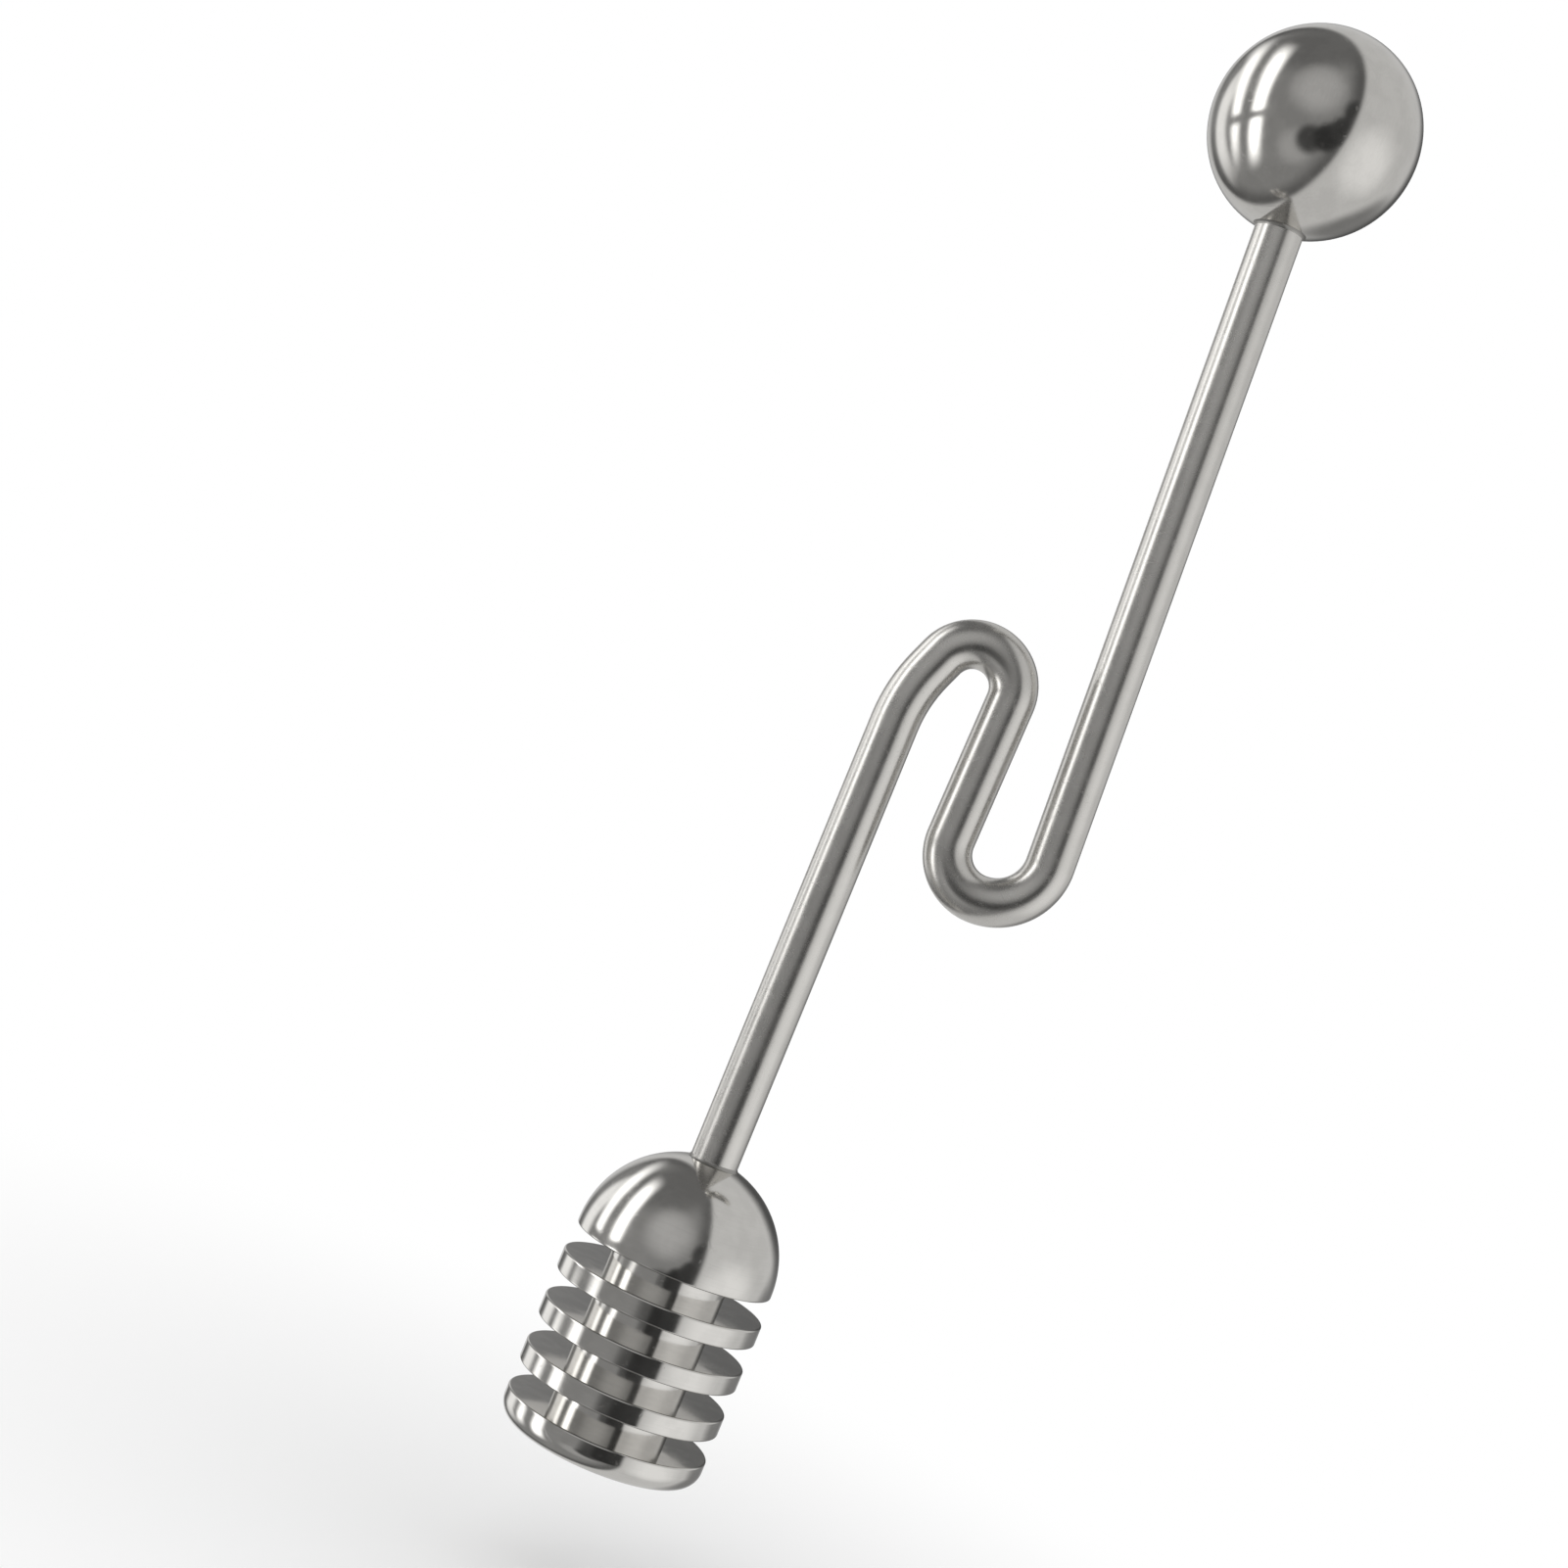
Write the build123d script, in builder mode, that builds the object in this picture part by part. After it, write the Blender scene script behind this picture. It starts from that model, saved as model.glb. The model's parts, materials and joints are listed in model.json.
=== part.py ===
from build123d import *
from math import asin, degrees, radians, sqrt, tan
import os

# Honey dipper in polished stainless steel, in millimetres.
# It is a grooved head, one bent rod and a hollow ball knob, welded together.
# The origin is the saddle of the rim hook: the top of the gap that the rim of a pot or jar fills.
# +Z runs up along the lower rod, away from the head, and the rod's centreline lies in XZ.

# The rod, from its stock size to the two bends
rod_diameter = 5.0
rod_end_chamfer = 0.4
hook_radius = 4.2
shoulder_angle = 22.4
shoulder_length = 1.75
shoulder_radius = 16.6
lower_rod_length = 47.6
leg_lean = 1.3
leg_length = 14.8
return_radius_at_leg = 4.65
return_radius_at_handle = 5.65
handle_lean = 2.5
handle_length = 67.65

# The head, which is turned from one bar
head_diameter = 21.4
dome_inset = 0.25
dome_lip_height = 0.35
core_diameter = 12.3
groove_height = 2.8
disc_thickness = 2.1
disc_count = 4
end_disc_thickness = 3.1
end_disc_rounding = 2.0
edge_rounding = 0.2

# The rod's seat in the head
rod_engagement = 9.0
bore_end_gap = 0.3
drill_point_angle = 118.0

# The knob, which is two pressed half shells welded into a ball
knob_diameter = 21.4
knob_wall = 1.0
rod_entry = 4.0
seam_width = 1.0
seam_root_height = 0.25

# Fits and welds
rod_clearance = 0.05
weld_leg = 0.45
cut_overrun = 1.0

# Worked out from the sizes above
rod_radius = rod_diameter / 2
bore_radius = rod_radius + rod_clearance
head_radius = head_diameter / 2
dome_radius = head_radius - dome_inset
core_radius = core_diameter / 2
knob_radius = knob_diameter / 2
bore_depth = rod_engagement + bore_end_gap
drill_point_height = bore_radius / tan(radians(drill_point_angle / 2))

# Heights in the head, counted up from the crown of its dome
dome_lip_bottom = -dome_radius - dome_lip_height
disc_pitch = groove_height + disc_thickness
first_disc_top = dome_lip_bottom - groove_height
end_disc_top = first_disc_top - (disc_count - 1) * disc_pitch

# The rod's centreline runs both ways from the top of the hook
hook_top = (0, rod_radius)
with BuildLine(Plane.XZ) as lower_path:
    hook_inner_arc = JernArc(hook_top, (-1, 0), hook_radius, 90 - shoulder_angle)
    shoulder_end = hook_inner_arc @ 1 + (hook_inner_arc % 1) * shoulder_length
    shoulder_run = Line(hook_inner_arc @ 1, shoulder_end)
    shoulder_arc = JernArc(shoulder_end, shoulder_run % 1, shoulder_radius, shoulder_angle)
    dome_crown = shoulder_arc @ 1 + (shoulder_arc % 1) * lower_rod_length
    Line(shoulder_arc @ 1, dome_crown + (shoulder_arc % 1) * rod_engagement)

with BuildLine(Plane.XZ) as upper_path:
    hook_outer_arc = JernArc(hook_top, (1, 0), hook_radius, -(90 + leg_lean))
    leg_end = hook_outer_arc @ 1 + (hook_outer_arc % 1) * leg_length
    leg_run = Line(hook_outer_arc @ 1, leg_end)
    return_leg_arc = JernArc(leg_end, leg_run % 1, return_radius_at_leg, 90 + leg_lean)
    return_handle_arc = JernArc(
        return_leg_arc @ 1, return_leg_arc % 1, return_radius_at_handle, 90 + handle_lean
    )
    handle_direction = return_handle_arc % 1
    knob_base = return_handle_arc @ 1 + handle_direction * handle_length
    Line(return_handle_arc @ 1, knob_base + handle_direction * rod_entry)

# Each turned piece is drawn beside its own axis: x is outwards, y is along the axis
head_plane = Plane(dome_crown)
head_profile_plane = Plane(dome_crown, x_dir=(1, 0, 0), z_dir=(0, -1, 0))
head_axis = Axis(dome_crown, (0, 0, 1))
dome_centre = dome_crown - Vector(0, 0, dome_radius)
dome_weld_plane = Plane(dome_centre, x_dir=(1, 0, 0), z_dir=(0, -1, 0))

knob_centre = knob_base + handle_direction * knob_radius
knob_plane = Plane(knob_centre, x_dir=(0, 1, 0), z_dir=handle_direction)
knob_axis = Axis(knob_centre, handle_direction)
knob_weld_plane = Plane(
    knob_centre, x_dir=(-handle_direction.Z, 0, handle_direction.X), z_dir=(0, -1, 0)
)


def point_on_ball(ball_radius, outwards):
    """The point of a ball's section at a distance from its axis, on the side of the rod."""
    return (outwards, sqrt(ball_radius**2 - outwards**2))


def weld_section(ball_plane, ball_radius):
    """Section of the weld in the corner where the rod leaves a ball, with y towards the rod."""
    root = point_on_ball(ball_radius, bore_radius)
    toe = point_on_ball(ball_radius, rod_radius + weld_leg)
    root_angle = degrees(asin(root[0] / ball_radius))
    toe_angle = degrees(asin(toe[0] / ball_radius))
    rod_foot = (rod_radius, root[1])
    rod_head = (rod_radius, root[1] + weld_leg)
    with BuildSketch(ball_plane) as section:
        with BuildLine():
            CenterArc((0, 0), ball_radius, 90 - toe_angle, toe_angle - root_angle)
            Polyline(root, rod_foot, rod_head, toe)
        make_face()
    return section.sketch


# One bent rod from the bore in the head to the inside of the knob
with BuildPart() as handle_rod:
    with BuildSketch(Plane((0, 0, rod_radius), z_dir=(1, 0, 0))) as rod_section:
        Circle(rod_radius)
    sweep(rod_section.sketch, path=lower_path.wire())
    sweep(rod_section.sketch, path=upper_path.wire())
    end_edges = handle_rod.edges().filter_by(GeomType.CIRCLE).sort_by(Axis.Z)
    chamfer([end_edges[0], end_edges[-1]], rod_end_chamfer)
handle_rod.part.label = "handle_rod"
export_step(handle_rod.part, "parts/handle_rod.step")

# The head is a dome, a core and the discs, with a drilled blind bore for the rod
with BuildPart() as dipper_head:
    with BuildSketch(head_profile_plane) as dome_profile:
        with BuildLine():
            CenterArc((0, -dome_radius), dome_radius, 0, 90)
            Polyline(
                (0, 0), (0, dome_lip_bottom), (dome_radius, dome_lip_bottom), (dome_radius, -dome_radius)
            )
        make_face()
    revolve(axis=head_axis)
    lip_edge = dipper_head.edges().filter_by(GeomType.CIRCLE).sort_by(Axis.Z)[0]
    fillet(lip_edge, edge_rounding)

    with BuildSketch(head_plane.offset(end_disc_top)) as core_section:
        Circle(core_radius)
    extrude(amount=dome_lip_bottom - end_disc_top)

    for disc_number in range(disc_count):
        is_end_disc = disc_number == disc_count - 1
        with BuildSketch(head_plane.offset(first_disc_top - disc_number * disc_pitch)):
            Circle(head_radius)
        extrude(amount=-(end_disc_thickness if is_end_disc else disc_thickness))
    circles = dipper_head.edges().filter_by(GeomType.CIRCLE)
    disc_edges = circles.group_by(SortBy.RADIUS)[-1].sort_by(Axis.Z)
    fillet(disc_edges[0], end_disc_rounding)
    fillet(disc_edges[1:], edge_rounding)

    with BuildSketch(head_profile_plane) as bore_profile:
        with BuildLine():
            Polyline(
                (0, cut_overrun),
                (bore_radius, cut_overrun),
                (bore_radius, -bore_depth),
                (0, -bore_depth - drill_point_height),
                close=True,
            )
        make_face()
    revolve(axis=head_axis, mode=Mode.SUBTRACT)
dipper_head.part.label = "dipper_head"
export_step(dipper_head.part, "parts/dipper_head.step")

with BuildPart() as head_weld:
    revolve(weld_section(dome_weld_plane, dome_radius), axis=head_axis)
head_weld.part.label = "head_weld"
export_step(head_weld.part, "parts/head_weld.step")

# The knob's lower shell has the hole that the rod enters by
with BuildPart(knob_plane) as knob_lower_shell:
    Sphere(knob_radius)
    Sphere(knob_radius - knob_wall, mode=Mode.SUBTRACT)
    split(bisect_by=knob_plane.offset(-seam_width / 2), keep=Keep.BOTTOM)
    Cylinder(
        bore_radius,
        knob_radius + cut_overrun,
        align=(Align.CENTER, Align.CENTER, Align.MAX),
        mode=Mode.SUBTRACT,
    )
knob_lower_shell.part.label = "knob_lower_shell"
export_step(knob_lower_shell.part, "parts/knob_lower_shell.step")

with BuildPart(knob_plane) as knob_upper_shell:
    Sphere(knob_radius)
    Sphere(knob_radius - knob_wall, mode=Mode.SUBTRACT)
    split(bisect_by=knob_plane.offset(seam_width / 2), keep=Keep.TOP)
knob_upper_shell.part.label = "knob_upper_shell"
export_step(knob_upper_shell.part, "parts/knob_upper_shell.step")

# The seam's weld fills the joint through the wall and stands a little proud inside
with BuildPart(knob_plane) as knob_seam_weld:
    Sphere(knob_radius)
    Sphere(knob_radius - knob_wall - seam_root_height, mode=Mode.SUBTRACT)
    split(bisect_by=knob_plane.offset(seam_width / 2), keep=Keep.BOTTOM)
    split(bisect_by=knob_plane.offset(-seam_width / 2), keep=Keep.TOP)
knob_seam_weld.part.label = "knob_seam_weld"
export_step(knob_seam_weld.part, "parts/knob_seam_weld.step")

with BuildPart() as knob_weld:
    revolve(weld_section(knob_weld_plane, knob_radius), axis=knob_axis)
knob_weld.part.label = "knob_weld"
export_step(knob_weld.part, "parts/knob_weld.step")

# What the record needs, printed in this model's frame
head_bottom = dome_crown + Vector(0, 0, end_disc_top - end_disc_thickness)
print("dome crown", dome_crown)
print("middle of the head's end face", head_bottom)
print("knob centre", knob_centre, "handle direction", handle_direction)
print("leg from", hook_outer_arc @ 1, "to", leg_run @ 1)
print("return bend bottom", return_leg_arc @ 1, "handle from", return_handle_arc @ 1)
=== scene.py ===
"""Honey dipper in polished stainless steel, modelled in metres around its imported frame.

The origin is the saddle of the rim hook. +Z runs up along the lower rod, away from the head, and
the rod's centreline lies in the XZ plane.
"""

from __future__ import annotations

import json
import logging
from abc import ABC, abstractmethod
from dataclasses import dataclass, field
from enum import Enum
from math import asin, ceil, cos, pi, radians, sin, sqrt, tan, tau

import bmesh
import bpy
from mathutils import Matrix, Vector

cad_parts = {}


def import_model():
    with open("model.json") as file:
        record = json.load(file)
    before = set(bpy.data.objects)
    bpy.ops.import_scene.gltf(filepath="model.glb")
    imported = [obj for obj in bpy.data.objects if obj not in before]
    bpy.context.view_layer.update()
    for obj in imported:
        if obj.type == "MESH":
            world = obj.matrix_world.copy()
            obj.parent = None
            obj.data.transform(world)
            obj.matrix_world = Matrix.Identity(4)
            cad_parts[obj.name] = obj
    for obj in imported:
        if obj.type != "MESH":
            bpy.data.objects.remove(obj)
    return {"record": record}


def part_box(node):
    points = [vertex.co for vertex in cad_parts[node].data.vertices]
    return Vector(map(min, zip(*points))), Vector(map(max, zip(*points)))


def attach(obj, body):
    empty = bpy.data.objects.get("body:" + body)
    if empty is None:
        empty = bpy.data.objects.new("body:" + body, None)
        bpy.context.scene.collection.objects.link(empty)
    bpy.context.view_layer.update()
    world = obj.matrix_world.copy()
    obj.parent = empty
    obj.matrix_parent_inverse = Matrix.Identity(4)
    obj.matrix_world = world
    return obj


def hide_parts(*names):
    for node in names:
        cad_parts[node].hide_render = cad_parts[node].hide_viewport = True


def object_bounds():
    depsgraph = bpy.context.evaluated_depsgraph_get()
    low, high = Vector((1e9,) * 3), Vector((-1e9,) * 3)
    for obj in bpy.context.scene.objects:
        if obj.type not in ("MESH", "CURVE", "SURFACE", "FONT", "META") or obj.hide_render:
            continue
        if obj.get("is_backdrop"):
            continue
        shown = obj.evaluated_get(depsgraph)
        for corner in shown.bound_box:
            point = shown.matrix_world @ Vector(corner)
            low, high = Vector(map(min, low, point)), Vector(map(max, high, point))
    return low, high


MM = 0.001
BODY = "root"
CAMERA_PLACE = Vector((-13.74, -272.0, -18.0)) * MM

# Sizes that several pieces share
ROD_RADIUS = 2.5 * MM
BORE_RADIUS = 2.55 * MM

# Fineness of the meshes
TURN_STEPS = 192
ARC_STEP = radians(3.0)
FILLET_STEPS = 5
ROD_SIDES = 64
FLOOR_SIDES = 96
RUN_STEP = 2.0 * MM
MERGE_DISTANCE = 0.0001 * MM
ON_BALL_TOLERANCE = 0.001 * MM
SHARP_ANGLE = radians(35.0)

# The marks in every finish. A stretch is how quickly a pattern changes along its marks, next to 1
# across them, and a step is where a mask starts to rise and where it is whole.
ROD_MARK_STRETCH = 0.02
TURNED_MARK_DRIFT = 0.02
CROSSED_MARK_STRETCH = 0.12
SCRATCH_LEANS = (0.6, -0.9)
SCRATCH_TWIST = 0.4
SCRATCH_STRETCH = 0.03
SCRATCHES_PER_METRE = 2600.0
SCRATCH_STEP = (0.76, 0.80)
SCRATCH_ROUGHNESS = 0.06
RUBBED_STEP = (0.35, 0.65)
SHADE_STEP = (0.2, 0.8)
SHADE_FROM_MARKS = 0.55

log = logging.getLogger("honey_dipper")


class Socket:
    """A node's output that takes part in Python arithmetic, one Math node for each step."""

    def __init__(self, bench: ShaderBench, output: bpy.types.NodeSocket | None) -> None:
        """Wraps one output of a node on the bench, or None for a node that has no output."""
        self.bench = bench
        self.output = output

    def _math(self, operation: str, *terms: Socket | float) -> Socket:
        """Adds one Math node with these terms."""
        return self.bench.node("ShaderNodeMath", {"operation": operation}, dict(enumerate(terms)))

    def __add__(self, other: Socket | float) -> Socket:
        """self + other."""
        return self._math("ADD", self, other)

    __radd__ = __add__

    def __sub__(self, other: Socket | float) -> Socket:
        """self - other."""
        return self._math("SUBTRACT", self, other)

    def __rsub__(self, other: float) -> Socket:
        """other - self."""
        return self._math("SUBTRACT", other, self)

    def __mul__(self, other: Socket | float) -> Socket:
        """self * other."""
        return self._math("MULTIPLY", self, other)

    __rmul__ = __mul__

    def at_least(self, other: Socket | float) -> Socket:
        """The larger of the two."""
        return self._math("MAXIMUM", self, other)

    def ramp(self, start: float, end: float) -> Socket:
        """A smooth step from 0 at start to 1 at end, which may be the lower number."""
        settings = {"interpolation_type": "SMOOTHSTEP"}
        return self.bench.node("ShaderNodeMapRange", settings, {0: self, 1: start, 2: end})

    def towards(self, tone: float, mask: Socket | float) -> Socket:
        """This value where the mask is 0 and the tone where it is 1."""
        return self + (tone - self) * mask


class ShaderBench:
    """A node tree that nodes are added to, for a material or for the world."""

    def __init__(self, owner: bpy.types.Material | bpy.types.World) -> None:
        """Clears the owner's node tree.

        Args:
            owner: The material or world whose shader is built.
        """
        owner.use_nodes = True
        self.tree = owner.node_tree
        self.tree.nodes.clear()

    def node(
        self,
        kind: str,
        settings: dict[str, object] | None = None,
        inputs: dict[int | str, object] | None = None,
        output: int | str = 0,
    ) -> Socket:
        """Adds one node.

        Args:
            kind: The node's type.
            settings: The node's own properties, set before its sockets.
            inputs: Values or Sockets for its inputs, by name or number.
            output: The output that is returned, by name or number.

        Returns:
            The chosen output as a Socket.
        """
        made = self.tree.nodes.new(kind)
        for name, value in (settings or {}).items():
            setattr(made, name, value)
        for name, value in (inputs or {}).items():
            if isinstance(value, Socket):
                self.tree.links.new(value.output, made.inputs[name])
            else:
                made.inputs[name].default_value = value
        return Socket(self, made.outputs[output] if made.outputs else None)

    def dot(self, vector: Socket, direction: Vector) -> Socket:
        """The dot product of a vector socket and a fixed direction."""
        inputs = {0: vector, 1: tuple(direction)}
        return self.node("ShaderNodeVectorMath", {"operation": "DOT_PRODUCT"}, inputs, "Value")

    def stretch(self, vector: Socket, factors: tuple[float, float, float]) -> Socket:
        """The vector with each component times its own factor."""
        return self.node("ShaderNodeVectorMath", {"operation": "MULTIPLY"}, {0: vector, 1: factors})

    def noise(self, vector: Socket, scale: float, detail: float = 2.0) -> Socket:
        """Smooth noise about 0.5, with scale features a metre."""
        return self.node("ShaderNodeTexNoise", None, {"Vector": vector, "Scale": scale, "Detail": detail})


class Grain(Enum):
    """The way that the polishing marks run on a piece."""

    ALONG_ROD = "drawn along the rod"
    AROUND_AXIS = "turned about the piece's own axis"
    CROSSED = "buffed this way and that"


@dataclass(frozen=True)
class SteelFinish:
    """One polished finish of the steel.

    Args:
        name: The material's name.
        slot: The record's material slot, which is not used.
        tone: The steel's colour.
        roughness: The mean roughness.
        roughness_spread: How far smears and rubbed patches change it.
        grain: The way that the marks run.
        marks_per_metre: How closely the marks lie.
        mark_depth: Depth of the polishing marks, in metres.
        wave_depth: Depth of the long waves that bend reflections, in metres.
        waves_per_metre: How closely those waves lie.
        smears_per_metre: How closely the rubbed patches lie.
        scratch_depth: Depth of the hairline scratches, in metres.
        dull_share: The tone's share that is left where the steel is dullest.
    """

    name: str
    slot: str
    tone: tuple[float, float, float]
    roughness: float
    roughness_spread: float
    grain: Grain
    marks_per_metre: float
    mark_depth: float
    wave_depth: float
    waves_per_metre: float = 160.0
    smears_per_metre: float = 420.0
    scratch_depth: float = 0.0008 * MM
    dull_share: float = 0.93

    def _mark_space(self, bench: ShaderBench, axis_foot: Vector) -> Socket:
        """The coordinates that the polishing marks are drawn in.

        Args:
            bench: The material's bench.
            axis_foot: A point on the piece's axis, for turned marks.

        Returns:
            A vector that changes quickly across the marks and slowly along them.
        """
        if self.grain is Grain.ALONG_ROD:
            unbent = bench.node("ShaderNodeAttribute", {"attribute_name": "unbent"}, None, "Vector")
            return bench.stretch(unbent, (1.0, 1.0, ROD_MARK_STRETCH))
        place = bench.node("ShaderNodeTexCoord", None, None, "Object")
        if self.grain is Grain.CROSSED:
            return bench.stretch(place, (1.0, 1.0, CROSSED_MARK_STRETCH))
        centred = bench.node("ShaderNodeMapping", None, {"Vector": place, "Location": tuple(-axis_foot)})
        flat = bench.stretch(centred, (1.0, 1.0, 0.0))
        radius = bench.node("ShaderNodeVectorMath", {"operation": "LENGTH"}, {0: flat}, "Value")
        height = bench.dot(centred, Vector((0.0, 0.0, 1.0)))
        drift = bench.dot(centred, Vector((TURNED_MARK_DRIFT, TURNED_MARK_DRIFT, 0.0)))
        return bench.node("ShaderNodeCombineXYZ", None, {0: radius, 1: height, 2: drift})

    def _scratches(self, bench: ShaderBench, place: Socket) -> Socket:
        """A mask of sparse hairline scratches in two directions."""
        mask: Socket | None = None
        for lean in SCRATCH_LEANS:
            rotation = (lean, lean, SCRATCH_TWIST)
            turned = bench.node("ShaderNodeMapping", None, {"Vector": place, "Rotation": rotation})
            drawn_out = bench.stretch(turned, (1.0, 1.0, SCRATCH_STRETCH))
            line = bench.noise(drawn_out, SCRATCHES_PER_METRE, detail=0.0).ramp(*SCRATCH_STEP)
            mask = line if mask is None else mask.at_least(line)
        return mask

    def material(self, axis_foot: Vector) -> bpy.types.Material:
        """Builds the finish for one piece.

        Args:
            axis_foot: A point on the piece's axis.

        Returns:
            The new material.
        """
        made = bpy.data.materials.new(self.name)
        bench = ShaderBench(made)
        place = bench.node("ShaderNodeTexCoord", None, None, "Object")
        marks = bench.noise(self._mark_space(bench, axis_foot), self.marks_per_metre)
        waves = bench.noise(place, self.waves_per_metre, detail=1.0)
        smears = bench.noise(place, self.smears_per_metre, detail=4.0)
        scratches = self._scratches(bench, place)

        rubbed = smears.ramp(*RUBBED_STEP)
        shade = (SHADE_FROM_MARKS * marks + (1.0 - SHADE_FROM_MARKS) * rubbed).ramp(*SHADE_STEP)
        dull = tuple(channel * self.dull_share for channel in self.tone)
        # A Mix node's sockets share their names, so its colours go by number
        shades = {0: shade, 6: (*dull, 1.0), 7: (*self.tone, 1.0)}
        colour = bench.node("ShaderNodeMix", {"data_type": "RGBA"}, shades, output=2)
        smeared = self.roughness + self.roughness_spread * (rubbed - 0.5)
        roughness = smeared + SCRATCH_ROUGHNESS * scratches
        height = self.mark_depth * marks + self.wave_depth * waves - self.scratch_depth * scratches
        bump = bench.node("ShaderNodeBump", None, {"Height": height, "Distance": 1.0, "Strength": 1.0})
        surface = bench.node(
            "ShaderNodeBsdfPrincipled",
            None,
            {"Base Color": colour, "Metallic": 1.0, "Roughness": roughness, "Normal": bump},
        )
        bench.node("ShaderNodeOutputMaterial", None, {"Surface": surface})
        return made


WELD_STEEL = SteelFinish(
    name="polished_weld_steel",
    slot="weld_steel",
    tone=(0.42, 0.41, 0.39),
    roughness=0.34,
    roughness_spread=0.10,
    grain=Grain.AROUND_AXIS,
    marks_per_metre=5000.0,
    mark_depth=0.0006 * MM,
    wave_depth=0.006 * MM,
    waves_per_metre=700.0,
)


def across_ball(ball_radius: float, offset: float) -> float:
    """The radius of a ball's section at an offset from its centre."""
    return sqrt(ball_radius**2 - offset**2)


class TurningProfile:
    """A chain of edges in the XZ half plane, x being the radius, that is spun into a turned piece."""

    def __init__(self, radius: float, height: float) -> None:
        """Starts the chain at one point."""
        self.mesh = bmesh.new()
        self.tip = bmesh.ops.create_vert(self.mesh, co=(radius, 0.0, height))["vert"][0]

    def line_to(self, radius: float, height: float) -> None:
        """Draws a straight line to a point."""
        self.tip = bmesh.ops.extrude_vert_indiv(self.mesh, verts=[self.tip])["verts"][0]
        target = Vector((radius, 0.0, height))
        bmesh.ops.translate(self.mesh, verts=[self.tip], vec=target - self.tip.co)

    def arc_to(self, radius: float, height: float, bend_radius: float) -> None:
        """Draws an arc of under a half circle to a point.

        Args:
            radius: The point's radius.
            height: The point's height.
            bend_radius: The arc's radius, positive where it turns clockwise seen from the front.
        """
        chord = Vector((radius, 0.0, height)) - self.tip.co
        size = abs(bend_radius)
        side = 1.0 if bend_radius > 0 else -1.0
        rightwards = Vector((chord.z, 0.0, -chord.x)).normalized()
        reach = sqrt(max(size**2 - (chord.length / 2) ** 2, 0.0))
        centre = self.tip.co + chord / 2 + rightwards * reach * side
        angle = 2 * asin(min(chord.length / 2 / size, 1.0))
        swept = bmesh.ops.spin(
            self.mesh,
            geom=[self.tip],
            cent=centre,
            axis=(0.0, 1.0, 0.0),
            dvec=(0.0, 0.0, 0.0),
            angle=angle * side,
            steps=max(ceil(angle / ARC_STEP), FILLET_STEPS),
        )
        self.tip = next(item for item in swept["geom_last"] if isinstance(item, bmesh.types.BMVert))

    def spun(self, place: Matrix) -> bmesh.types.BMesh:
        """Spins the chain all the way round Z.

        Args:
            place: Where the finished piece goes.

        Returns:
            The closed mesh, with its faces outwards.
        """
        bmesh.ops.spin(
            self.mesh,
            geom=self.mesh.verts[:] + self.mesh.edges[:],
            cent=(0.0, 0.0, 0.0),
            axis=(0.0, 0.0, 1.0),
            dvec=(0.0, 0.0, 0.0),
            angle=tau,
            steps=TURN_STEPS,
            use_merge=True,
        )
        bmesh.ops.remove_doubles(self.mesh, verts=self.mesh.verts, dist=MERGE_DISTANCE)
        bmesh.ops.recalc_face_normals(self.mesh, faces=self.mesh.faces)
        bmesh.ops.transform(self.mesh, matrix=place, verts=self.mesh.verts)
        return self.mesh


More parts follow.
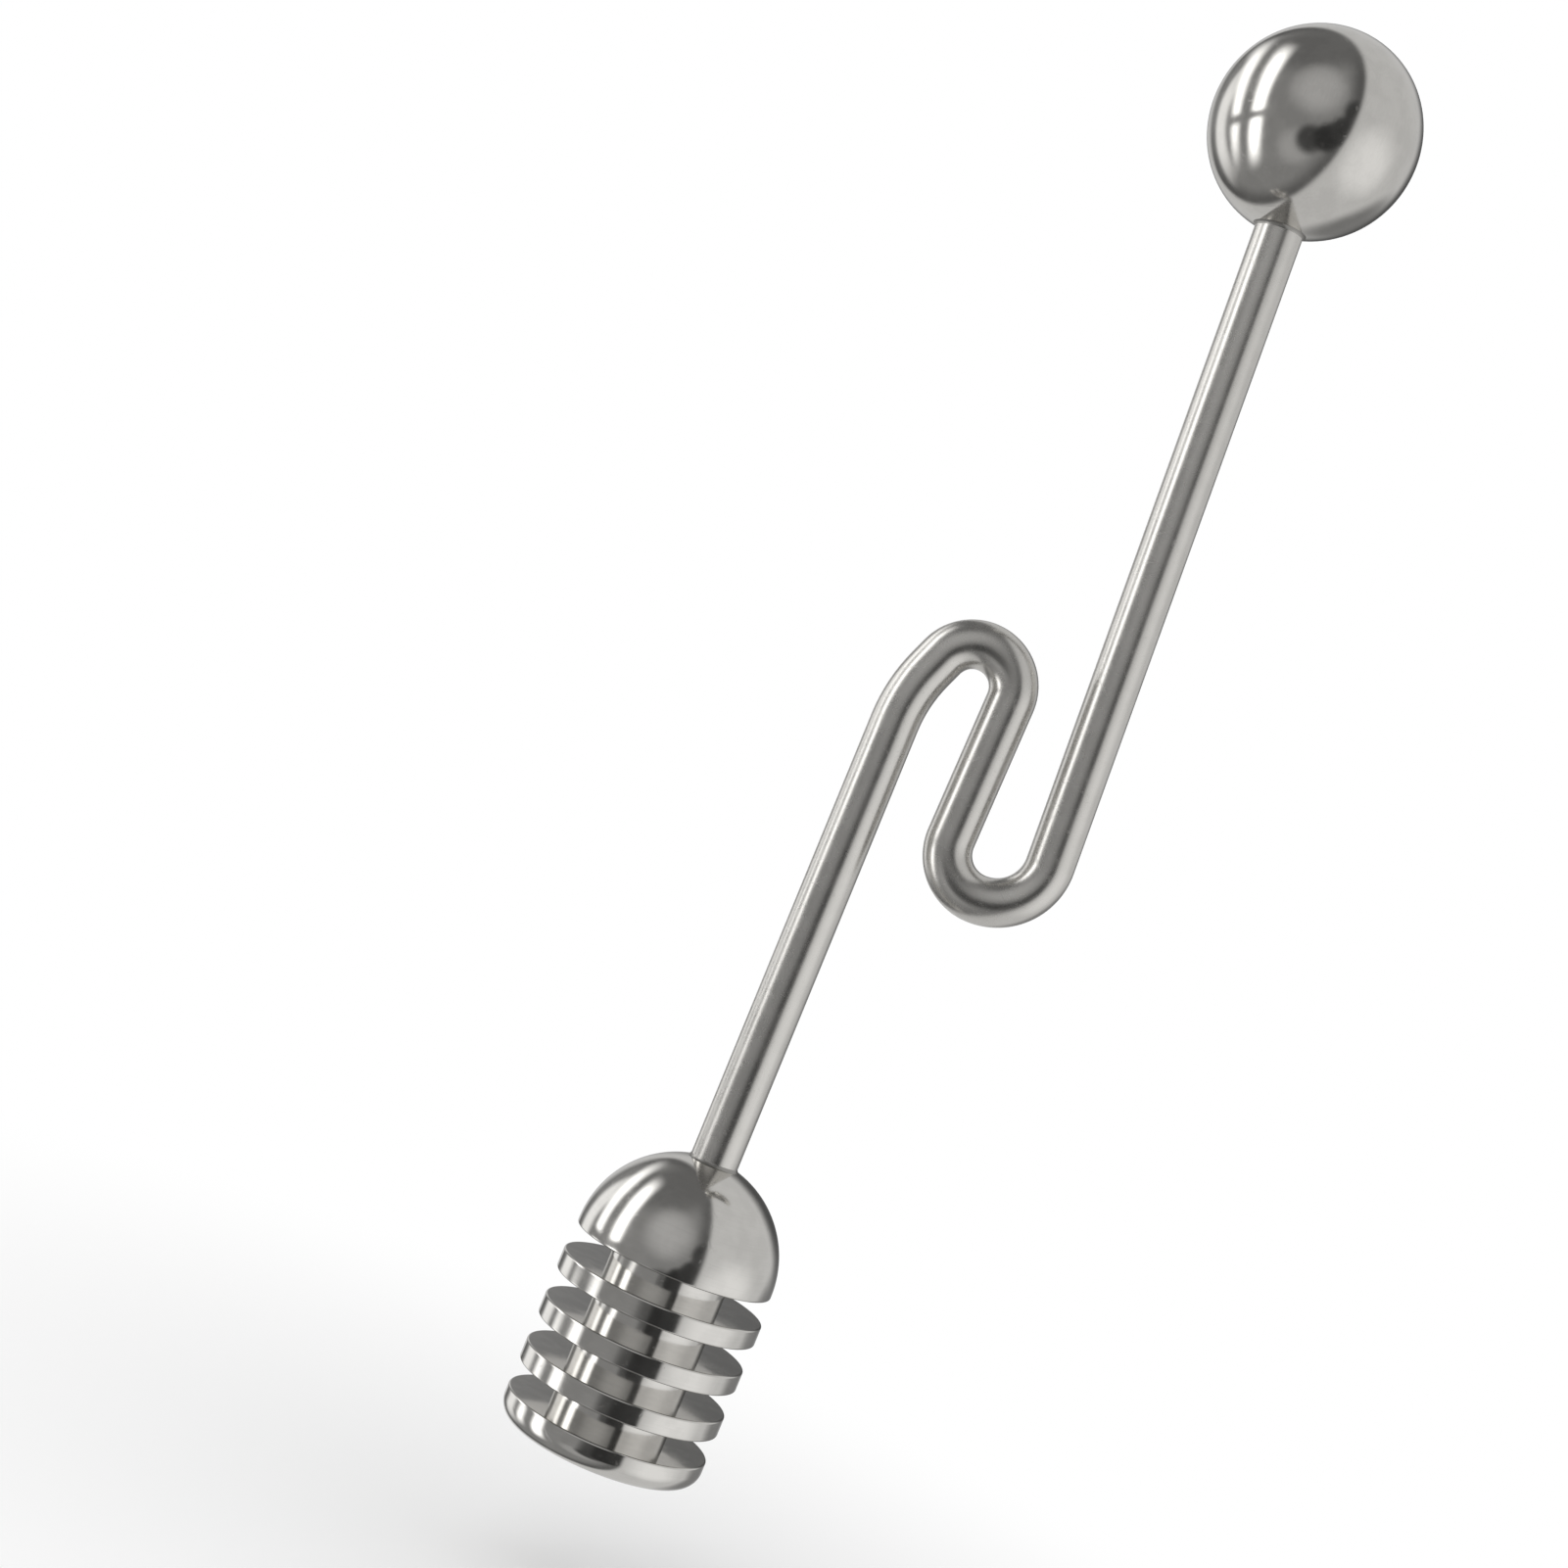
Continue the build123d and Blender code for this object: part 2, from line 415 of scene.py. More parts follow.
class RodBender:
    """Carries the ring of a rod's section along straight runs and bends in the XZ plane."""

    def __init__(
        self, mesh: bmesh.types.BMesh, ring: list[bmesh.types.BMEdge], centre: Vector, sense: int
    ) -> None:
        """Starts at a ring that faces along X.

        Args:
            mesh: The rod's mesh, with its "unbent" layer.
            ring: The edges of the first ring.
            centre: The middle of that ring.
            sense: 1 to go off along +X, and -1 along -X.
        """
        self.mesh = mesh
        self.unbent = mesh.verts.layers.float_vector["unbent"]
        self.ring = ring
        self.centre = centre
        self.sense = sense
        self.heading = 0.0 if sense > 0 else pi
        self.travelled = 0.0

    @property
    def ahead(self) -> Vector:
        """The direction that the rod goes on in."""
        return Vector((cos(self.heading), 0.0, sin(self.heading)))

    @property
    def left(self) -> Vector:
        """The direction to the left of it in the XZ plane, seen from the front."""
        return Vector((-sin(self.heading), 0.0, cos(self.heading)))

    def label(self, vertices: list[bmesh.types.BMVert]) -> None:
        """Writes each vertex's place on the straight, unbent rod into the layer."""
        for vertex in vertices:
            offset = vertex.co - self.centre
            vertex[self.unbent] = Vector((offset.dot(self.left) * self.sense, offset.y, self.travelled))

    def _carry(self, move: Matrix, distance: float, turn: float = 0.0) -> None:
        """Extrudes the ring and moves the new one.

        Args:
            move: The new ring's movement.
            distance: How far that is along the rod.
            turn: By how much the rod's heading changes.
        """
        grown = bmesh.ops.extrude_edge_only(self.mesh, edges=self.ring)["geom"]
        vertices = [item for item in grown if isinstance(item, bmesh.types.BMVert)]
        self.ring = [item for item in grown if isinstance(item, bmesh.types.BMEdge) and item.is_boundary]
        bmesh.ops.transform(self.mesh, matrix=move, verts=vertices)
        self.centre = move @ self.centre
        self.heading += turn
        self.travelled += self.sense * distance
        self.label(vertices)

    def run(self, length: float) -> None:
        """Goes straight on for a length."""
        steps = ceil(length / RUN_STEP)
        for _ in range(steps):
            self._carry(Matrix.Translation(self.ahead * (length / steps)), length / steps)

    def bend(self, radius: float, turn: float) -> None:
        """Turns in the XZ plane.

        Args:
            radius: The radius of the centreline.
            turn: The angle in degrees, positive to the left seen from the front.
        """
        angle = radians(turn)
        steps = ceil(abs(angle) / ARC_STEP)
        pivot = self.centre + self.left * (radius if turn > 0 else -radius)
        swing = Matrix.Rotation(-angle / steps, 4, "Y")
        move = Matrix.Translation(pivot) @ swing @ Matrix.Translation(-pivot)
        for _ in range(steps):
            self._carry(move, radius * abs(angle) / steps, angle / steps)

    def close(self, rod_radius: float, chamfer: float) -> None:
        """Ends the rod with a chamfer and a flat face."""
        share = (rod_radius - chamfer) / rod_radius
        to_centre = Matrix.Translation(self.centre)
        narrowing = to_centre @ Matrix.Scale(share, 4) @ to_centre.inverted()
        self._carry(Matrix.Translation(self.ahead * chamfer) @ narrowing, chamfer)
        bmesh.ops.contextual_create(self.mesh, geom=self.ring)


def finished_object(mesh: bmesh.types.BMesh, name: str, flat_faces_first: bool = False) -> bpy.types.Object:
    """Makes a smooth-shaded object of a finished mesh and frees the mesh.

    Args:
        mesh: The mesh, in its place.
        name: The object's name.
        flat_faces_first: Whether large faces keep their own normals next to small fillets.

    Returns:
        The object, at the origin.
    """
    data = bpy.data.meshes.new(name)
    mesh.to_mesh(data)
    mesh.free()
    data.shade_smooth()
    data.set_sharp_from_angle(angle=SHARP_ANGLE)
    made = bpy.data.objects.new(name, data)
    bpy.context.scene.collection.objects.link(made)
    if flat_faces_first:
        weighting = made.modifiers.new("weighted_normals", "WEIGHTED_NORMAL")
        weighting.keep_sharp = True
    return made


@dataclass
class SubAssembly(ABC):
    """A part of the dipper that builds its own pieces and dresses them."""

    @abstractmethod
    def build(self) -> list[bpy.types.Object]:
        """Builds the pieces and returns them."""

    def dress(self, piece: bpy.types.Object, finish: SteelFinish, node: str, axis_foot: Vector) -> None:
        """Gives a piece its finish and its place in the frame.

        Args:
            piece: The finished object.
            finish: Its finish.
            node: The CAD node that it stands for.
            axis_foot: A point on its axis.
        """
        piece.data.materials.append(finish.material(axis_foot))
        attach(piece, BODY)
        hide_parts(node)


@dataclass
class BentRod(SubAssembly):
    """The one piece of round rod, from the bore in the head to the inside of the knob."""

    radius: float = ROD_RADIUS
    end_chamfer: float = 0.4 * MM
    hook_radius: float = 4.2 * MM
    shoulder_angle: float = 22.4
    shoulder_length: float = 1.75 * MM
    shoulder_radius: float = 16.6 * MM
    lower_length: float = 47.6 * MM
    head_engagement: float = 9.0 * MM
    leg_lean: float = 1.3
    leg_length: float = 14.8 * MM
    return_radius_at_leg: float = 4.65 * MM
    return_radius_at_handle: float = 5.65 * MM
    handle_lean: float = 2.5
    handle_length: float = 67.65 * MM
    knob_entry: float = 4.0 * MM
    finish: SteelFinish = SteelFinish(
        name="drawn_rod_steel",
        slot="rod_steel",
        tone=(0.68, 0.665, 0.635),
        roughness=0.27,
        roughness_spread=0.03,
        grain=Grain.ALONG_ROD,
        marks_per_metre=6000.0,
        mark_depth=0.0003 * MM,
        wave_depth=0.005 * MM,
        scratch_depth=0.0004 * MM,
        dull_share=0.95,
    )

    def _lower_side(self, bender: RodBender) -> None:
        """The hook's inner arc, the shoulder and the lower rod, down into the head."""
        bender.bend(self.hook_radius, 90.0 - self.shoulder_angle)
        bender.run(self.shoulder_length)
        bender.bend(self.shoulder_radius, self.shoulder_angle)
        bender.run(self.lower_length + self.head_engagement - self.end_chamfer)
        bender.close(self.radius, self.end_chamfer)

    def _upper_side(self, bender: RodBender) -> None:
        """The hook's outer arc, the leg, the return bend and the handle, up into the knob."""
        bender.bend(self.hook_radius, -(90.0 + self.leg_lean))
        bender.run(self.leg_length)
        bender.bend(self.return_radius_at_leg, 90.0 + self.leg_lean)
        bender.bend(self.return_radius_at_handle, 90.0 + self.handle_lean)
        bender.run(self.handle_length + self.knob_entry - self.end_chamfer)
        bender.close(self.radius, self.end_chamfer)

    def build(self) -> list[bpy.types.Object]:
        """Bends the rod both ways from the top of the hook."""
        hook_top = Vector((0.0, 0.0, self.radius))
        across = Matrix.Translation(hook_top) @ Matrix.Rotation(radians(90.0), 4, "Y")
        mesh = bmesh.new()
        mesh.verts.layers.float_vector.new("unbent")
        bmesh.ops.create_circle(mesh, segments=ROD_SIDES, radius=self.radius, matrix=across)
        ring = mesh.edges[:]
        first_vertices = mesh.verts[:]
        lower = RodBender(mesh, ring, hook_top.copy(), -1)
        upper = RodBender(mesh, ring, hook_top.copy(), 1)
        upper.label(first_vertices)
        self._lower_side(lower)
        self._upper_side(upper)
        bmesh.ops.recalc_face_normals(mesh, faces=mesh.faces)
        rod = finished_object(mesh, "polished_rod")
        self.dress(rod, self.finish, "handle_rod", hook_top)
        return [rod]


@dataclass
class WeldBead:
    """The small fillet of weld in the corner where the rod leaves a ball."""

    ball_radius: float
    rod_radius: float = ROD_RADIUS
    bore_radius: float = BORE_RADIUS
    leg: float = 0.28 * MM
    face_radius: float = 0.6 * MM

    def build(self, name: str, place: Matrix) -> bpy.types.Object:
        """Spins the bead's section.

        Args:
            name: The object's name.
            place: The ball's centre, with Z towards the rod.

        Returns:
            The bead.
        """
        toe_radius = self.rod_radius + self.leg
        root_height = across_ball(self.ball_radius, self.bore_radius)
        toe_height = across_ball(self.ball_radius, toe_radius)
        profile = TurningProfile(self.bore_radius, root_height)
        profile.line_to(self.rod_radius, root_height)
        profile.line_to(self.rod_radius, root_height + self.leg)
        profile.arc_to(toe_radius, toe_height, -self.face_radius)
        profile.arc_to(self.bore_radius, root_height, -self.ball_radius)
        return finished_object(profile.spun(place), name)


@dataclass
class DipperHead(SubAssembly):
    """The turned head, which is a dome over four discs on a core, and the weld on its crown."""

    radius: float = 10.7 * MM
    dome_inset: float = 0.25 * MM
    dome_lip: float = 0.35 * MM
    core_radius: float = 6.15 * MM
    groove_height: float = 2.8 * MM
    disc_thickness: float = 2.1 * MM
    disc_count: int = 4
    end_disc_thickness: float = 3.1 * MM
    end_disc_rounding: float = 2.0 * MM
    edge_rounding: float = 0.2 * MM
    bore_radius: float = BORE_RADIUS
    bore_depth: float = 9.3 * MM
    drill_point_angle: float = 118.0
    finish: SteelFinish = SteelFinish(
        name="turned_head_steel",
        slot="head_steel",
        tone=(0.72, 0.705, 0.675),
        roughness=0.11,
        roughness_spread=0.05,
        grain=Grain.AROUND_AXIS,
        marks_per_metre=7000.0,
        mark_depth=0.0005 * MM,
        wave_depth=0.008 * MM,
    )
    weld_finish: SteelFinish = WELD_STEEL

    @property
    def dome_radius(self) -> float:
        """The radius of the dome, a little inside the discs."""
        return self.radius - self.dome_inset

    def _disc(self, profile: TurningProfile, top: float, is_last: bool) -> float:
        """Draws one disc from the core out and back.

        Args:
            profile: The head's profile, with its tip on the core.
            top: The height of the disc's upper face.
            is_last: Whether this is the thicker end disc, which goes in to the axis.

        Returns:
            The height of the disc's lower face.
        """
        rounding = self.end_disc_rounding if is_last else self.edge_rounding
        bottom = top - (self.end_disc_thickness if is_last else self.disc_thickness)
        profile.line_to(self.core_radius, top)
        profile.line_to(self.radius - self.edge_rounding, top)
        profile.arc_to(self.radius, top - self.edge_rounding, self.edge_rounding)
        profile.line_to(self.radius, bottom + rounding)
        profile.arc_to(self.radius - rounding, bottom, rounding)
        profile.line_to(0.0 if is_last else self.core_radius, bottom)
        return bottom

    def _profile(self) -> TurningProfile:
        """The head's whole section, from the bottom of the bore over the dome and down the discs."""
        dome_radius = self.dome_radius
        drill_point = self.bore_radius / tan(radians(self.drill_point_angle / 2))
        lip_bottom = -dome_radius - self.dome_lip
        profile = TurningProfile(0.0, -self.bore_depth - drill_point)
        profile.line_to(self.bore_radius, -self.bore_depth)
        profile.line_to(self.bore_radius, across_ball(dome_radius, self.bore_radius) - dome_radius)
        profile.arc_to(dome_radius, -dome_radius, dome_radius)
        profile.line_to(dome_radius, lip_bottom + self.edge_rounding)
        profile.arc_to(dome_radius - self.edge_rounding, lip_bottom, self.edge_rounding)
        profile.line_to(self.core_radius, lip_bottom)
        bottom = lip_bottom
        for number in range(self.disc_count):
            bottom = self._disc(profile, bottom - self.groove_height, number == self.disc_count - 1)
        return profile

    def build(self) -> list[bpy.types.Object]:
        """Turns the head and puts the weld on its crown."""
        low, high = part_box("dipper_head")
        disc_heights = (self.disc_count - 1) * self.disc_thickness + self.end_disc_thickness
        dome_height = self.dome_radius + self.dome_lip
        height = dome_height + self.disc_count * self.groove_height + disc_heights
        crown = Vector(((low.x + high.x) / 2, 0.0, low.z + height))
        mesh = self._profile().spun(Matrix.Translation(crown))
        head = finished_object(mesh, "turned_head", flat_faces_first=True)
        self.dress(head, self.finish, "dipper_head", crown)

        dome_centre = crown - Vector((0.0, 0.0, self.dome_radius))
        weld = WeldBead(self.dome_radius).build("head_weld_bead", Matrix.Translation(dome_centre))
        self.dress(weld, self.weld_finish, "head_weld", crown)
        return [head, weld]


@dataclass
class BallKnob(SubAssembly):
    """The hollow ball on the handle: two pressed shells, their seam's weld and the rod's weld."""

    handle_direction: Vector = field(default_factory=lambda: Vector((0.0, 0.0, 1.0)))
    radius: float = 10.7 * MM
    wall: float = 1.0 * MM
    seam_width: float = 1.0 * MM
    seam_root: float = 0.25 * MM
    bore_radius: float = BORE_RADIUS
    finish: SteelFinish = SteelFinish(
        name="mirror_knob_steel",
        slot="knob_steel",
        tone=(0.68, 0.665, 0.635),
        roughness=0.12,
        roughness_spread=0.04,
        grain=Grain.CROSSED,
        marks_per_metre=5000.0,
        mark_depth=0.0003 * MM,
        wave_depth=0.008 * MM,
    )
    weld_finish: SteelFinish = WELD_STEEL

    def _lower_shell(self) -> TurningProfile:
        """The section of the shell with the rod's hole, with Z up the handle from the ball's centre."""
        inner = self.radius - self.wall
        seam = -self.seam_width / 2
        profile = TurningProfile(self.bore_radius, -across_ball(self.radius, self.bore_radius))
        profile.arc_to(across_ball(self.radius, seam), seam, -self.radius)
        profile.line_to(across_ball(inner, seam), seam)
        profile.arc_to(self.bore_radius, -across_ball(inner, self.bore_radius), inner)
        profile.line_to(self.bore_radius, -across_ball(self.radius, self.bore_radius))
        return profile

    def _upper_shell(self) -> TurningProfile:
        """The section of the closed shell."""
        inner = self.radius - self.wall
        seam = self.seam_width / 2
        profile = TurningProfile(0.0, self.radius)
        profile.arc_to(across_ball(self.radius, seam), seam, self.radius)
        profile.line_to(across_ball(inner, seam), seam)
        profile.arc_to(0.0, inner, -inner)
        return profile

    def _seam_weld(self) -> TurningProfile:
        """The section of the seam's weld, ground flush outside, with its root standing proud inside."""
        root = self.radius - self.wall - self.seam_root
        edge = self.seam_width / 2
        profile = TurningProfile(across_ball(self.radius, edge), edge)
        profile.arc_to(across_ball(self.radius, edge), -edge, self.radius)
        profile.line_to(across_ball(root, edge), -edge)
        profile.arc_to(across_ball(root, edge), edge, -root)
        profile.line_to(across_ball(self.radius, edge), edge)
        return profile

    def _polish_round(self, piece: bpy.types.Object, centre: Vector) -> None:
        """Points the normals of the ball's outer faces straight out, so that no seam shows in them.

        Args:
            piece: A piece with part of the ball's outside.
            centre: The ball's centre.
        """
        data = piece.data
        outwards = [vertex.co - centre for vertex in data.vertices]
        on_ball = [abs(offset.length - self.radius) < ON_BALL_TOLERANCE for offset in outwards]
        normals = [Vector((0.0, 0.0, 0.0))] * len(data.loops)
        for face in data.polygons:
            if all(on_ball[index] for index in face.vertices):
                for loop in face.loop_indices:
                    normals[loop] = outwards[data.loops[loop].vertex_index].normalized()
        data.normals_split_custom_set(normals)

    def build(self) -> list[bpy.types.Object]:
        """Spins the three pieces of the ball and the rod's weld."""
        low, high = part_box("knob_seam_weld")
        centre = (low + high) / 2
        tilt = Vector((0.0, 0.0, 1.0)).rotation_difference(self.handle_direction).to_matrix().to_4x4()
        place = Matrix.Translation(centre) @ tilt
        sections = {
            "knob_lower": ("knob_lower_shell", self._lower_shell()),
            "knob_upper": ("knob_upper_shell", self._upper_shell()),
            "knob_seam": ("knob_seam_weld", self._seam_weld()),
        }
        pieces = []
        for name, (node, profile) in sections.items():
            piece = finished_object(profile.spun(place), name)
            self._polish_round(piece, centre)
            self.dress(piece, self.finish, node, centre)
            pieces.append(piece)

        downwards = place @ Matrix.Rotation(pi, 4, "Y")
        weld = WeldBead(self.radius).build("knob_weld_bead", downwards)
        self.dress(weld, self.weld_finish, "knob_weld", centre)
        return [*pieces, weld]


@dataclass(frozen=True)
class PhotoView:
    """The photograph's viewing angle: level, from the front, with the camera rolled.

    Args:
        position: The camera's place.
        roll: Degrees that the camera is rolled by.
        focal_pixels: The focal length, in the photograph's pixels.
        frame_pixels: The photograph's width and height.
        sensor: The sensor's width, in millimetres.
        near_clip: The nearest distance that the camera shows.
    """

    position: Vector
    roll: float = 22.33
    focal_pixels: float = 2761.0
    frame_pixels: float = 1601.0
    sensor: float = 36.0
    near_clip: float = 10.0 * MM

    @property
    def right(self) -> Vector:
        """The direction to the right in the picture."""
        return Vector((cos(radians(self.roll)), 0.0, sin(radians(self.roll))))

    @property
    def up(self) -> Vector:
        """The direction up in the picture."""
        return Vector((-sin(radians(self.roll)), 0.0, cos(radians(self.roll))))

    @property
    def back(self) -> Vector:
        """The direction from the dipper to the camera."""
        return Vector((0.0, -1.0, 0.0))

    def bearing(self, azimuth: float, elevation: float) -> Vector:
        """A direction seen from the dipper.

        Args:
            azimuth: Degrees from the camera towards the picture's right.
            elevation: Degrees above the picture's middle.

        Returns:
            The direction in the dipper's frame.
        """
        level = sin(radians(azimuth)) * self.right + cos(radians(azimuth)) * self.back
        return cos(radians(elevation)) * level + sin(radians(elevation)) * self.up

    def make_camera(self) -> None:
        """Adds the camera and makes it the scene's."""
        data = bpy.data.cameras.new("camera")
        data.sensor_width = self.sensor
        data.lens = self.sensor * self.focal_pixels / self.frame_pixels
        data.clip_start = self.near_clip
        camera = bpy.data.objects.new("camera", data)
        turned = Matrix((self.right, self.up, self.back)).transposed().to_4x4()
        camera.matrix_world = Matrix.Translation(self.position) @ turned
        bpy.context.scene.collection.objects.link(camera)
        bpy.context.scene.camera = camera


@dataclass(frozen=True)
class RoundZone:
    """A round part of the studio's surroundings in one tone, with a soft edge.

    Args:
        azimuth: Degrees from the camera towards the picture's right, seen from the dipper.
        elevation: Degrees above the picture's middle.
        whole: Degrees from its middle to where it starts to fade.
        gone: Degrees from its middle to where it has faded out.
        tone: Its brightness.
    """

    azimuth: float
    elevation: float
    whole: float
    gone: float
    tone: float

    def mask(self, bench: ShaderBench, direction: Socket, view: PhotoView) -> Socket:
        """Where the zone lies, as 0 to 1."""
        facing = bench.dot(direction, view.bearing(self.azimuth, self.elevation))
        return facing.ramp(cos(radians(self.gone)), cos(radians(self.whole)))


@dataclass(frozen=True)
class StripLight:
    """A long narrow window of light, bent round an axis, with a bar across it.

    Args:
        azimuth: The axis's bearing, in degrees as in RoundZone.
        elevation: The axis's height, in degrees.
        distance: Degrees from the axis to the middle of the strip.
        half_width: Half the strip's width, in degrees.
        softness: Width of its soft edges, in degrees.
        middle: Bearing of the middle of its length, as azimuth and elevation.
        reach: Degrees from that middle to where its ends start to fade.
        tone: Its brightness.
        bar_height: Height of the dark bar in the picture, in degrees.
        end_softness: Degrees over which its ends fade.
        bar_half_width: Half the bar's width, in degrees.
        bar_softness: Width of the bar's soft edges, in degrees.
    """

    azimuth: float
    elevation: float
    distance: float
    half_width: float
    softness: float
    middle: tuple[float, float]
    reach: float
    tone: float
    bar_height: float
    end_softness: float = 34.0
    bar_half_width: float = 1.0
    bar_softness: float = 4.5

    def mask(self, bench: ShaderBench, direction: Socket, view: PhotoView) -> Socket:
        """Where the strip lies, as 0 to 1."""
        facing = bench.dot(direction, view.bearing(self.azimuth, self.elevation))
        near = self.distance - self.half_width
        far = self.distance + self.half_width
        inner = facing.ramp(cos(radians(near - self.softness)), cos(radians(near)))
        outer = facing.ramp(cos(radians(far + self.softness)), cos(radians(far)))
        along = bench.dot(direction, view.bearing(*self.middle))
        length = along.ramp(cos(radians(self.reach + self.end_softness)), cos(radians(self.reach)))
        from_bar = bench.dot(direction, view.up) - sin(radians(self.bar_height))
        clear_of_bar = from_bar.at_least(0.0 - from_bar).ramp(
            sin(radians(self.bar_half_width)), sin(radians(self.bar_half_width + self.bar_softness))
        )
        return inner * outer * length * clear_of_bar


@dataclass
class Studio:
    """The pale floor, the soft light and the surroundings that the steel mirrors.

    Args:
        view: The camera's view, whose bearings the zones are given in.
        floor_gap: How far the floor lies below the dipper.
        floor_radius: The floor's radius.
        floor_tone: The floor's tone.
        floor_roughness: The floor's roughness.
        fade_start: Distance from the origin at which the floor starts to fade to white.
        fade_end: Distance at which it is plain white.
        ambient: The even grey that lights matt surfaces.
        key_power: The lamp's power, in watts.
        key_size: The lamp's width.
        key_place: The lamp's place.
        room_tone: The tone that the steel mirrors wherever no zone lies.
        zones: The zones and strips, each laid over the ones before it.
    """

    view: PhotoView
    floor_gap: float = 14.0 * MM
    floor_radius: float = 3.0
    floor_tone: float = 0.94
    floor_roughness: float = 0.9
    fade_start: float = 0.02
    fade_end: float = 0.14
    ambient: float = 0.85
    key_power: float = 1.0
    key_size: float = 0.45
    key_place: Vector = field(default_factory=lambda: Vector((-0.30, -0.42, 0.48)))
    room_tone: float = 0.275
    zones: tuple[RoundZone | StripLight, ...] = (
        # The dim edge of the right-hand side, and the room's soft greys above and at lower left
        RoundZone(117.0, -23.0, 88.0, 104.0, 0.12),
        RoundZone(-6.0, 90.0, 17.0, 42.0, 0.165),
        RoundZone(-6.0, 34.0, 2.0, 34.0, 0.48),
        RoundZone(-34.0, -25.0, 4.0, 24.0, 0.42),
        # The dark round the camera
        RoundZone(-16.0, -19.0, 9.0, 19.0, 0.07),
        RoundZone(4.0, -18.0, 11.0, 18.0, 0.035),
        RoundZone(19.0, -11.0, 11.0, 17.0, 0.045),
        RoundZone(34.0, 6.0, 9.0, 17.0, 0.055),
        # The pale wall on the right, brightest low down and dimmer far back
        RoundZone(117.0, -23.0, 82.0, 87.5, 0.65),
        RoundZone(64.0, -34.0, 2.0, 40.0, 0.94),
        RoundZone(152.0, -34.0, 8.0, 28.0, 0.24),
        # The edge light at the back on the left, and the two windows in front of it
        StripLight(-40.0, 0.0, 90.0, 5.0, 10.0, (-130.0, 17.0), 8.0, 1.1, -70.0),
        StripLight(-137.0, 12.0, 61.0, 1.0, 10.5, (-84.0, 26.0), 26.0, 3.0, 13.5),
        StripLight(-146.0, 8.0, 42.0, 1.0, 9.5, (-118.0, 26.0), 16.0, 2.1, 13.0),
        # A light patch and a dark one behind the dipper
        RoundZone(-176.0, 10.0, 10.0, 26.0, 0.62),
        RoundZone(160.0, 3.0, 2.0, 31.0, 0.09),
    )

    def _make_world(self) -> None:
        """Lights the floor evenly, shows white to the camera and the surroundings to the steel."""
        world = bpy.data.worlds.new("studio")
        bpy.context.scene.world = world
        # Only glossy rays see the zones, so the world isn't sampled as a light as well
        world.cycles.sampling_method = "NONE"
        bench = ShaderBench(world)
        direction = bench.node("ShaderNodeTexCoord", None, None, "Generated")
        mirrored = bench.node("ShaderNodeValue")
        mirrored.output.default_value = self.room_tone
        for zone in self.zones:
            mirrored = mirrored.towards(zone.tone, zone.mask(bench, direction, self.view))
        is_camera = bench.node("ShaderNodeLightPath", None, None, "Is Camera Ray")
        is_glossy = bench.node("ShaderNodeLightPath", None, None, "Is Glossy Ray")
        lit = self.ambient + is_glossy * (mirrored - self.ambient)
        level = lit.towards(1.0, is_camera)
        background = bench.node("ShaderNodeBackground", None, {"Color": level, "Strength": 1.0})
        bench.node("ShaderNodeOutputWorld", None, {"Surface": background})

    def _floor_material(self) -> bpy.types.Material:
        """A matt pale floor that fades to plain white away from the dipper, for the camera alone."""
        made = bpy.data.materials.new("pale_floor")
        bench = ShaderBench(made)
        place = bench.node("ShaderNodeTexCoord", None, None, "Object")
        flat = bench.stretch(place, (1.0, 1.0, 0.0))
        distance = bench.node("ShaderNodeVectorMath", {"operation": "LENGTH"}, {0: flat}, "Value")
        is_camera = bench.node("ShaderNodeLightPath", None, None, "Is Camera Ray")
        fade = distance.ramp(self.fade_start, self.fade_end) * is_camera
        colour = (self.floor_tone, self.floor_tone, self.floor_tone, 1.0)
        inputs = {"Base Color": colour, "Roughness": self.floor_roughness}
        matt = bench.node("ShaderNodeBsdfPrincipled", None, inputs)
        white = bench.node("ShaderNodeEmission", None, {"Color": (1.0, 1.0, 1.0, 1.0), "Strength": 1.0})
        mixed = bench.node("ShaderNodeMixShader", None, {0: fade, 1: matt, 2: white})
        bench.node("ShaderNodeOutputMaterial", None, {"Surface": mixed})
        return made

    def _make_floor(self, lowest: float) -> None:
        """Lays the floor a little below the dipper, which hangs by its hook."""
        mesh = bmesh.new()
        bmesh.ops.create_circle(mesh, cap_ends=True, segments=FLOOR_SIDES, radius=self.floor_radius)
        bmesh.ops.translate(mesh, verts=mesh.verts, vec=(0.0, 0.0, lowest - self.floor_gap))
        data = bpy.data.meshes.new("floor")
        mesh.to_mesh(data)
        mesh.free()
        floor = bpy.data.objects.new("floor", data)
        floor.data.materials.append(self._floor_material())
        floor.visible_glossy = False
        bpy.context.scene.collection.objects.link(floor)
        floor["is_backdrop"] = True

    def _make_key_light(self, target: Vector) -> None:
        """Adds the soft lamp that casts the shadow on the floor."""
        data = bpy.data.lights.new("key", "AREA")
        data.energy = self.key_power
        data.size = self.key_size
        lamp = bpy.data.objects.new("key", data)
        aim = (self.key_place - target).to_track_quat("Z", "Y").to_matrix().to_4x4()
        lamp.matrix_world = Matrix.Translation(self.key_place) @ aim
        lamp.visible_glossy = False
        bpy.context.scene.collection.objects.link(lamp)

    def build(self, box: tuple[Vector, Vector]) -> None:
        """Builds the studio round the dipper.

        Args:
            box: The dipper's lowest and highest corners.
        """
        low, high = box
        self.view.make_camera()
        self._make_world()
        self._make_floor(low.z)
        self._make_key_light((low + high) / 2)
        bpy.context.scene.view_settings.view_transform = "Standard"


def handle_direction(record: dict) -> Vector:
    """The direction of the handle, which is the axis of the record's rod clip."""
    clip = next(mount for mount in record["mounts"] if mount["name"] == "rod_clip")
    return Vector(clip["axis"]).normalized()


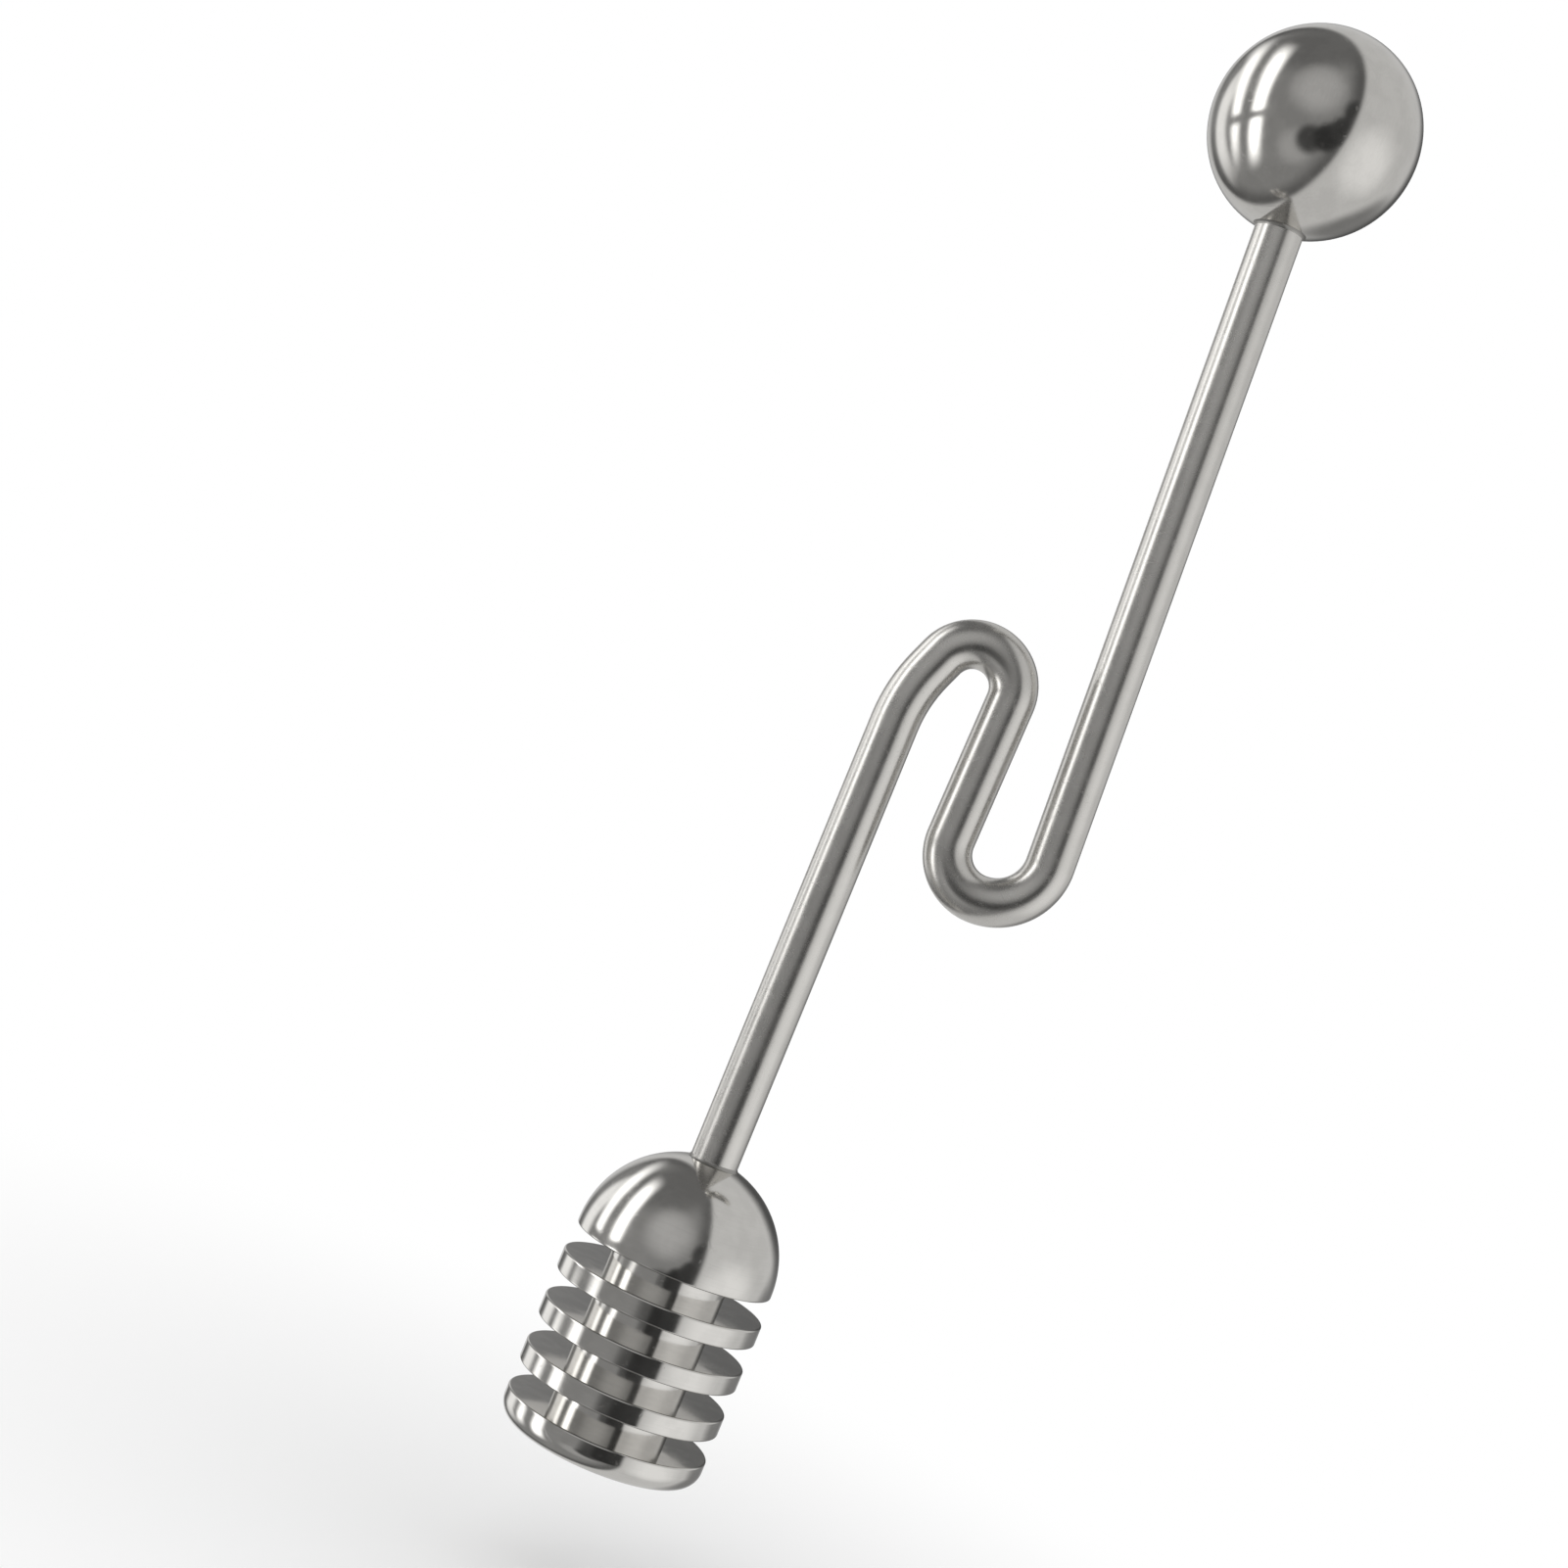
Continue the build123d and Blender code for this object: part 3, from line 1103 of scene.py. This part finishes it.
def main() -> None:
    """Builds the dipper and its studio."""
    logging.basicConfig(level=logging.INFO, format="%(name)s: %(message)s")
    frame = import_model()
    cad_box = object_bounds()
    assemblies: list[SubAssembly] = [
        DipperHead(),
        BentRod(),
        BallKnob(handle_direction=handle_direction(frame["record"])),
    ]
    for assembly in assemblies:
        for piece in assembly.build():
            log.info("%s: %s, %d faces", type(assembly).__name__, piece.name, len(piece.data.polygons))
    Studio(PhotoView(position=CAMERA_PLACE)).build(cad_box)


if __name__ == "__main__":
    main()
